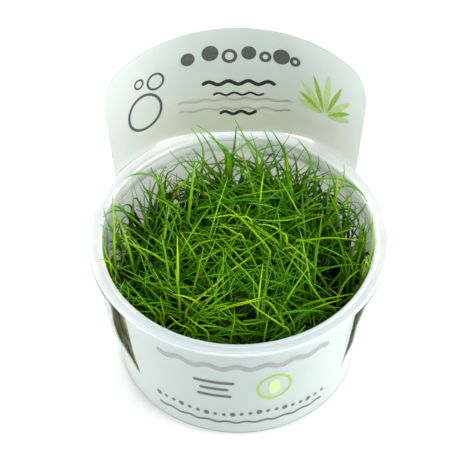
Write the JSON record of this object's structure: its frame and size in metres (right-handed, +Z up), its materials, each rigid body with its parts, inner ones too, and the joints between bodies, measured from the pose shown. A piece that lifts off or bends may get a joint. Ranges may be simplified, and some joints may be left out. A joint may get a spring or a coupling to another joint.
{
  "type": "potted dwarf hairgrass",
  "caption": "Dense tufts of fine grass blades rising from gel in a round tapered cup, with a wrap-around sleeve whose tall rounded header stands behind and locks on the lip.",
  "frame": {"origin": "middle of the cup's flat base", "axes": "+Z up out of the cup's mouth, -Y towards the front of the cup, +Y towards the sleeve's header"},
  "size_m": [0.0798, 0.083, 0.0803],
  "materials": {
    "cup_plastic": "translucent milky polypropylene, satin",
    "sleeve_sheet": "thin white printed sheet, soft sheen",
    "gel": "set gel full of roots, dark and moist",
    "leaf": "living leaf, satin"
  },
  "bodies": {
    "root": {"cup": "cup_plastic", "label_sleeve": "sleeve_sheet", "growing_gel": "gel", "tuft_01": "leaf", "tuft_02": "leaf", "tuft_03": "leaf", "tuft_04": "leaf", "tuft_05": "leaf", "tuft_06": "leaf", "tuft_07": "leaf", "tuft_08": "leaf", "tuft_09": "leaf", "tuft_10": "leaf", "tuft_11": "leaf", "tuft_12": "leaf", "tuft_13": "leaf", "tuft_14": "leaf", "tuft_15": "leaf", "tuft_16": "leaf", "tuft_17": "leaf", "tuft_18": "leaf", "tuft_19": "leaf", "tuft_20": "leaf", "tuft_21": "leaf", "tuft_22": "leaf", "tuft_23": "leaf", "tuft_24": "leaf", "tuft_25": "leaf", "tuft_26": "leaf", "tuft_27": "leaf"}
  },
  "joints": []
}
